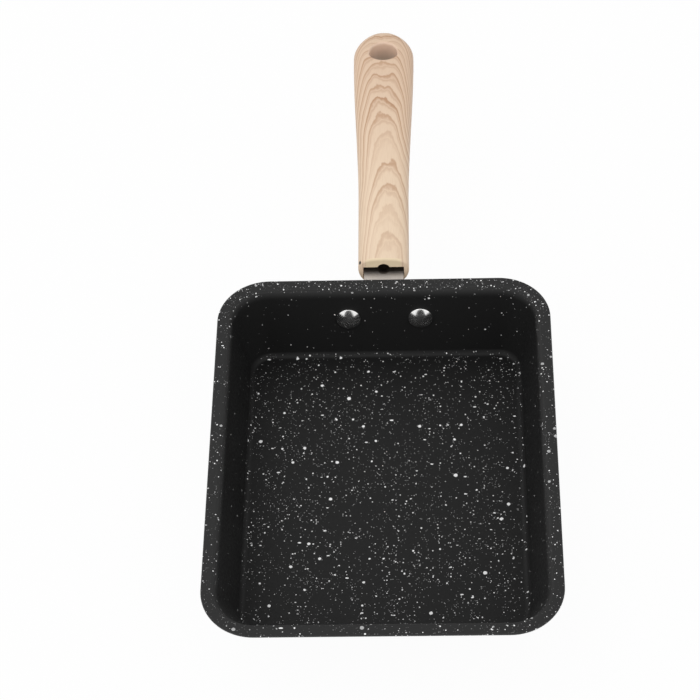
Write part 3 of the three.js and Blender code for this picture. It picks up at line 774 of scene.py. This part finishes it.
def cut(made, rings, place):
    """Cuts the skin over rings of points out of a piece."""
    cutter = piece("cutter", rings, place)
    bpy.context.view_layer.update()
    boolean = made.modifiers.new("cut", "BOOLEAN")
    boolean.object = cutter
    boolean.solver = "EXACT"
    cut_mesh = bpy.data.meshes.new_from_object(made.evaluated_get(bpy.context.evaluated_depsgraph_get()))
    made.modifiers.clear()
    made.data = cut_mesh
    bpy.data.objects.remove(cutter)


RING_PITCH = 2
HEART_RUN = (40, 85)
HEART_SHIFT = (2.4, -0.6)
ARCH_RUN = (40, 120)
ARCH_SQUARENESS = (2.4, 4)
ARCH_RISE = (7.5, 4.4)
GRAIN_SLOPE = 0.09
GRAIN_TAPER = 0.1
TAIL_RISE = 3.2
SWAY = 0.8
SWAY_WAVES = (0.08, 0.03, 0.1)
RIPPLE = 0.35
RIPPLE_WAVES = (0.3, 0.16, 0.2)
RIPPLE_REACH = (9, 2)
RIPPLE_SHARE = (0.25, 1)
SWING_RANGE = (0.2, 0.8)
LATE_RISE = (0.55, 0.88)
LATE_FALL = (1, 0.88)
EARLY_RISE = (0.3, 0.55)
EARLY_FALL = (0.64, 0.57)
EARLY_SHARE = 0.5
LINE_SHARE = (0.4, 1)
FADE_RUN = (10, 90)
FADE_SHARE = (0.55, 1)


def growth_lines(tree, place, axes):
    """The dark lines of the grain: rings that arch over a heart line, sway, and fade towards the mouth."""
    lengthwise = axes["Y"]
    heart = ramp(tree, lengthwise, *HEART_RUN, *HEART_SHIFT)
    across = sums(tree, "ABSOLUTE", sums(tree, "SUBTRACT", axes["X"], heart))
    squareness = ramp(tree, lengthwise, *ARCH_RUN, *ARCH_SQUARENESS)
    arch = sums(tree, "POWER", sums(tree, "DIVIDE", across, FRONT_WIDTH / 2), squareness)
    arch = sums(tree, "MULTIPLY", arch, ramp(tree, lengthwise, *ARCH_RUN, *ARCH_RISE))
    taper = sums(tree, "MULTIPLY", sums(tree, "POWER", lengthwise, 2), GRAIN_TAPER / HANDLE_LENGTH)
    slope = sums(tree, "ADD", sums(tree, "MULTIPLY", lengthwise, GRAIN_SLOPE), taper)
    at_tail = ramp(tree, lengthwise, hole_at - HOLE_FRONT, HANDLE_LENGTH, 0, TAIL_RISE)
    slope = sums(tree, "ADD", slope, at_tail)
    sway = grain_layer(tree, place, SWAY_WAVES, detail=1)
    sway = ramp(tree, sway, *SWING_RANGE, -SWAY, SWAY)
    ripple = grain_layer(tree, place, RIPPLE_WAVES, detail=2)
    ripple = ramp(tree, ripple, *SWING_RANGE, -RIPPLE, RIPPLE)
    ripple = sums(tree, "MULTIPLY", ripple, ramp(tree, across, *RIPPLE_REACH, *RIPPLE_SHARE))
    field = sums(tree, "ADD", sums(tree, "ADD", arch, slope), sums(tree, "ADD", sway, ripple))
    years = sums(tree, "DIVIDE", field, RING_PITCH)
    each = add(tree, "TexWhiteNoise", {"W": sums(tree, "FLOOR", years)}, noise_dimensions="1D")
    ring = sums(tree, "FRACT", years)
    late = sums(tree, "MULTIPLY", ramp(tree, ring, *LATE_RISE), ramp(tree, ring, *LATE_FALL))
    early = sums(tree, "MULTIPLY", ramp(tree, ring, *EARLY_RISE), ramp(tree, ring, *EARLY_FALL))
    lines = sums(tree, "ADD", late, sums(tree, "MULTIPLY", early, EARLY_SHARE))
    lines = sums(tree, "MULTIPLY", lines, ramp(tree, each.outputs["Value"], 0, 1, *LINE_SHARE))
    return sums(tree, "MULTIPLY", lines, ramp(tree, lengthwise, *FADE_RUN, *FADE_SHARE))


def inside_slot(tree, axes, into_mouth, beside):
    """1 on the walls of the slot."""
    inside = sums(tree, "LESS_THAN", beside, STRAP_WIDTH / 2 + 2 * PLAY)
    for test, value, limit in (("LESS_THAN", axes["Z"], BEAD_RADIUS + PLAY),
                               ("GREATER_THAN", axes["Z"], -BEAD_RADIUS - STRAP - 2 * PLAY),
                               ("GREATER_THAN", into_mouth, SLOT_ROUND),
                               ("LESS_THAN", axes["Y"], TONGUE + SLOT_SPARE + PLAY)):
        inside = sums(tree, "MULTIPLY", inside, sums(tree, test, value, limit))
    return inside


HOLE_EDGE = (1.3, 1.05)
# Painted shade in the hanging hole: lighter at its top, darker with depth.
HOLE_TOP_PAINTED_LIGHT = paint("#e9cdb7")
HOLE_DEEP_PAINTED_SHADE = paint("#a79583")


def hole_wall(tree, place):
    """A mask of the hanging hole's wall, and its colour: painted light at the top, painted shade deeper
    down.
    """
    hole_frame = grip_frame(hole_at)
    inputs = {"Vector": place, "Location": hole_frame.translation, "Rotation": hole_frame.to_euler()}
    in_hole = add(tree, "Mapping", inputs, vector_type="TEXTURE").outputs[0]
    axes = add(tree, "SeparateXYZ", {"Vector": in_hole}).outputs
    side = sums(tree, "POWER", sums(tree, "DIVIDE", axes["X"], HOLE_WIDTH / 2), 2)
    to_back = sums(tree, "DIVIDE", axes["Y"], HOLE_BACK)
    to_front = sums(tree, "DIVIDE", axes["Y"], -HOLE_FRONT)
    reach = sums(tree, "POWER", sums(tree, "MAXIMUM", to_back, to_front), 2)
    mask = ramp(tree, sums(tree, "ADD", side, reach), *HOLE_EDGE)
    return mask, tint(tree, ramp(tree, axes["Z"], GRIP_TOP, -TAIL_UNDER), HOLE_TOP_PAINTED_LIGHT, HOLE_DEEP_PAINTED_SHADE)


FRONT_WOOD = paint("#ecd4b9")
TAIL_WOOD = paint("#e2c6ac")
WOOD_RUN = (20, 120)
LINE_BROWN = paint("#bb9272")
PORE_TAN = paint("#d3b294")
PORE_WAVES = (4, 0.2, 2)
PORE_RANGE = (0.4, 0.75)
PORE_SHARE = (0, 0.25)
MOUTH_CREAM = paint("#efdab8")
MOUTH_FACE = (0.9, 0.5)
MOUTH_SIDE = (9, 7.4)
SLOT_GREY = paint("#b5aaa2")
# A small dark spot on the handle's left side near the mouth, drawn as colour.
NICK_BLACK = paint("#1a1410")
NICK_AT = (-10.8, 2.2, 3.2)
DARK_SPOT = 1.1
PRINT_ROUGHNESS = (0.42, 0.5)
PRINT_GLOSS = 0.4


def wood_print():
    """Pale wood with darker lines and fine pores, a plain mouth face, and one small dark spot near the
    mouth.
    """
    tree, material, surface = finish_of("wood-look print")
    place = in_handle(tree, add(tree, "TexCoord").outputs["Object"])
    axes = add(tree, "SeparateXYZ", {"Vector": place}).outputs
    beside = sums(tree, "ABSOLUTE", axes["X"])
    mouth_face = sums(tree, "MULTIPLY", axes["Z"], math.tan(MOUTH_LEAN))
    into_mouth = sums(tree, "SUBTRACT", axes["Y"], mouth_face)
    lines = growth_lines(tree, place, axes)
    pores = grain_layer(tree, place, PORE_WAVES, detail=2)
    wood = tint(tree, ramp(tree, axes["Y"], *WOOD_RUN), FRONT_WOOD, TAIL_WOOD)
    wood = tint(tree, ramp(tree, pores, *PORE_RANGE, *PORE_SHARE), wood, PORE_TAN)
    wood = tint(tree, lines, wood, LINE_BROWN)
    plain = sums(tree, "MULTIPLY", ramp(tree, into_mouth, *MOUTH_FACE), ramp(tree, beside, *MOUTH_SIDE))
    wood = tint(tree, plain, wood, MOUTH_CREAM)
    wood = tint(tree, inside_slot(tree, axes, into_mouth, beside), wood, SLOT_GREY)
    # Painted shade on the hanging hole's wall.
    in_hole, hole_painted_shade = hole_wall(tree, place)
    wood = tint(tree, in_hole, wood, hole_painted_shade)
    wood = tint(tree, ramp(tree, away(tree, place, NICK_AT), DARK_SPOT, DARK_SPOT / 2), wood, NICK_BLACK)
    feed(tree, surface, {
        "Base Color": wood,
        "Roughness": ramp(tree, lines, 0, 1, *PRINT_ROUGHNESS),
        "Normal": relief(tree, pores, strength=0.1, depth=0.05),
        "Specular IOR Level": PRINT_GLOSS,
    })
    return material


handle = piece("handle_moulding", handle_rings(), grip)
screw_bore = SCREW_HEAD + 2 * PLAY
cut(handle, slot_rings(), grip)
cut(handle, hole_rings(), grip)
cut(handle, screw_well_rings(screw_bore, -BELLY_UNDER - OVERSHOOT, washer_seat), grip)
cut(handle, screw_well_rings(SCREW + 2 * PLAY, washer_seat - OVERSHOOT, slot_roof), grip)
shade_round(handle, wood_print())
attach(handle, "root")
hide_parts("handle")


# The screw, its split washer and its nut: stock fasteners of zinc-plated steel. The screw comes up from
# under the handle and clamps it to the tongue. They keep their CAD shapes.
ZINC = paint("#a9a9a6")
ZINC_ROUGHNESS = 0.3

fastener_finish = hazy_metal("zinc plate", ZINC, ZINC_ROUGHNESS)
for name in ("handle_screw", "spring_washer", "weld_nut"):
    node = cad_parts[name]
    node.data.materials.clear()
    node.data.materials.append(fastener_finish)


# The table: a plain white sheet that shows white to the camera and in reflections, and still takes the
# pan's soft shadow. It lies a hair below the base and shows from above only, so the base can be seen too.
# Here and in the studio, sizes are in metres.
TABLE_HALF = 3
TABLE_TOP = -0.0002
TABLE_WHITE = paint("#f2f2f2")
TABLE_ROUGHNESS = 0.9
TABLE_GLOW = 0.96

table_mesh = bpy.data.meshes.new("table")
corners = [(x * TABLE_HALF, y * TABLE_HALF, TABLE_TOP) for x, y in ((-1, -1), (1, -1), (1, 1), (-1, 1))]
table_mesh.from_pydata(corners, [], [[0, 1, 2, 3]])
table = bpy.data.objects.new("table", table_mesh)
bpy.context.scene.collection.objects.link(table)


def white_table():
    """Matt white, which takes the shadow, under an even white glow for the camera and for mirrors."""
    tree, material, sheet = finish_of("white table")
    feed(tree, sheet, {"Base Color": TABLE_WHITE, "Roughness": TABLE_ROUGHNESS})
    glow = add(tree, "Emission", {"Color": (1, 1, 1, 1), "Strength": 1})
    rays = add(tree, "LightPath").outputs
    mirrored = sums(tree, "MAXIMUM", rays["Is Glossy Ray"], rays["Is Transmission Ray"])
    seen = sums(tree, "MAXIMUM", rays["Is Camera Ray"], mirrored)
    whiteness = sums(tree, "MULTIPLY", seen, TABLE_GLOW)
    top = add(tree, "MixShader", {0: whiteness, 1: sheet.outputs[0], 2: glow.outputs[0]})
    below = add(tree, "BsdfTransparent")
    underneath = add(tree, "NewGeometry").outputs["Backfacing"]
    both = add(tree, "MixShader", {0: underneath, 1: top.outputs[0], 2: below.outputs[0]})
    feed(tree, tree.nodes["Material Output"], {"Surface": both.outputs[0]})
    return material


table_mesh.materials.append(white_table())


# The studio: a white tent, brighter above, in front and to the left, with one soft lamp behind to the left.
# What the polished rivets mirror is the white tent and the camera's dark stand in front of it. The tent's
# ranges are shares of a direction's length.
WALL_LIGHT = 0.17
CEILING_LIGHT = 0.5
FRONT_LIGHT = 0.7
FRONT_RANGE = (0.1, -0.5)
LEFT_LIGHT = 0.1
LEFT_RANGE = (0.2, -0.8)
STAND_HALF_WIDTH = 0.46
STAND_HEIGHT = 0.78
STAND_EDGE = (0.9, 1.1)
STAND_BACK = (0, 0.08)
STAND_DARK = 0.04
LAMP_AT = Vector((-0.6, 0.5, 1.4))
LAMP_AIM = Vector((0, 0.05, 0.02))
LAMP_SIZE = 0.8
LAMP_POWER = 3.5


def between(tree, share, first, second):
    """A value between two values, which are the mixing node's sockets 2 and 3."""
    return add(tree, "Mix", {"Factor": share, 2: first, 3: second}, data_type="FLOAT").outputs[0]


room = bpy.data.worlds.new("studio")
room.use_nodes = True
bpy.context.scene.world = room
tent = room.node_tree
way = add(tent, "SeparateXYZ", {"Vector": add(tent, "TexCoord").outputs["Generated"]}).outputs
front = ramp(tent, way["Y"], *FRONT_RANGE, 0, FRONT_LIGHT)
left = ramp(tent, way["X"], *LEFT_RANGE, 0, LEFT_LIGHT)
overhead = ramp(tent, way["Z"], 0, 1, WALL_LIGHT, WALL_LIGHT + CEILING_LIGHT)
light = sums(tent, "ADD", sums(tent, "ADD", front, left), overhead)
stand_width = sums(tent, "POWER", sums(tent, "DIVIDE", way["X"], STAND_HALF_WIDTH), 2)
stand_height = sums(tent, "POWER", sums(tent, "DIVIDE", way["Z"], STAND_HEIGHT), 2)
beside_stand = ramp(tent, sums(tent, "ADD", stand_width, stand_height), *STAND_EDGE)
behind_stand = ramp(tent, way["Y"], *STAND_BACK)
reflected = ramp(tent, sums(tent, "MAXIMUM", beside_stand, behind_stand), 0, 1, STAND_DARK, 1)
rays = add(tent, "LightPath").outputs
lit = between(tent, rays["Is Glossy Ray"], light, reflected)
looked_at = sums(tent, "MAXIMUM", rays["Is Camera Ray"], rays["Is Transmission Ray"])
feed(tent, tent.nodes["Background"], {"Color": (1, 1, 1, 1), "Strength": between(tent, looked_at, lit, 1.0)})

lamp_light = bpy.data.lights.new("key lamp", "AREA")
lamp_light.shape = "SQUARE"
lamp_light.size = LAMP_SIZE
lamp_light.energy = LAMP_POWER
lamp = bpy.data.objects.new("key lamp", lamp_light)
lamp.location = LAMP_AT
lamp.rotation_euler = (LAMP_AIM - LAMP_AT).to_track_quat("-Z", "Y").to_euler()
bpy.context.scene.collection.objects.link(lamp)


# The camera: about a metre in front of the pan and above it, looking down at it through a long lens, and
# turned and rolled by a few degrees. Its sizes are in millimetres.
CAMERA_PITCH = math.radians(51)
CAMERA_YAW = math.radians(-3.52)
CAMERA_ROLL = math.radians(-3.58)
CAMERA_DISTANCE = 1035
CAMERA_AIM = (-14.8, 53.6, PAN_HEIGHT)
LENS = 119.6
SENSOR = 36

ahead = math.cos(CAMERA_PITCH)
forward = Vector((math.sin(CAMERA_YAW) * ahead, math.cos(CAMERA_YAW) * ahead, -math.sin(CAMERA_PITCH)))
right = Vector((math.cos(CAMERA_YAW), -math.sin(CAMERA_YAW), 0))
up = right.cross(forward)
turned_right = right * math.cos(CAMERA_ROLL) + up * math.sin(CAMERA_ROLL)
turned_up = up * math.cos(CAMERA_ROLL) - right * math.sin(CAMERA_ROLL)
lens = bpy.data.cameras.new("camera")
lens.lens = LENS
lens.sensor_width = SENSOR
camera = bpy.data.objects.new("camera", lens)
aimed = Matrix((turned_right, turned_up, -forward)).transposed().to_4x4()
camera.matrix_world = Matrix.Translation((Vector(CAMERA_AIM) - forward * CAMERA_DISTANCE) * MM) @ aimed
bpy.context.scene.collection.objects.link(camera)
bpy.context.scene.camera = camera
bpy.context.scene.view_settings.view_transform = "Standard"
